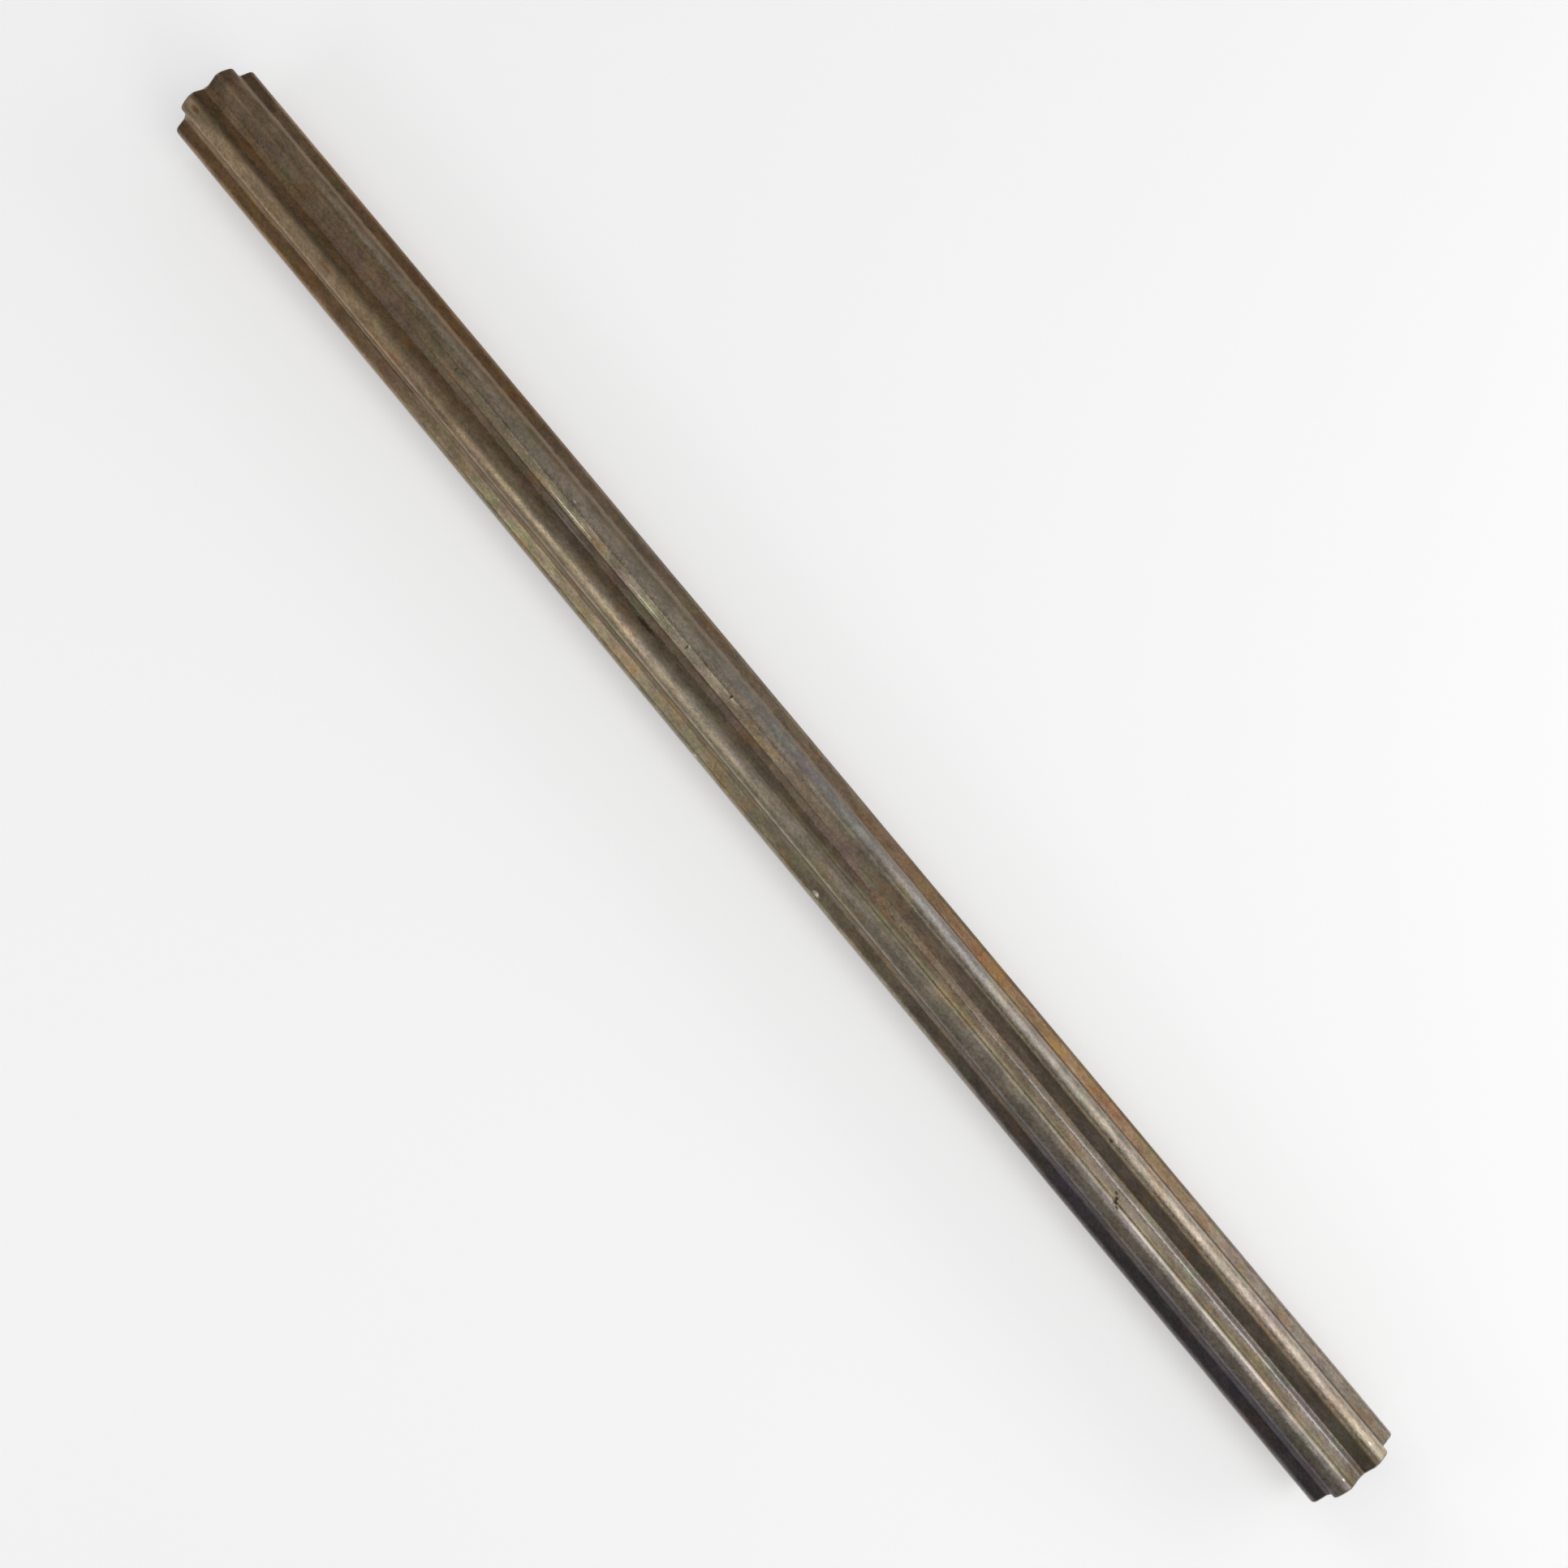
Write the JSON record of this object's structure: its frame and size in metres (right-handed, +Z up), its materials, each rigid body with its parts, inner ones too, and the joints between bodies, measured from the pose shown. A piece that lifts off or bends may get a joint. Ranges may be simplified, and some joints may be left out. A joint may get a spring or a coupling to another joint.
{
  "type": "power take-off shaft tube",
  "caption": "Straight drawn steel tube with a lobed star section and plain saw-cut ends, which slides on a mating tube and turns with it in a power take-off drive shaft.",
  "frame": {"origin": "middle of the tube's axis, half way along its length", "axes": "+X along the tube, +Y through the crest of a lobe, +Z up as the tube lies on two of its lobes"},
  "size_m": [1, 0.057, 0.0528],
  "materials": {
    "drawn_steel": "oiled mill finish with lengthwise draw marks and a thin brown rust film"
  },
  "bodies": {
    "root": {"profile_tube": "drawn_steel"}
  },
  "joints": []
}
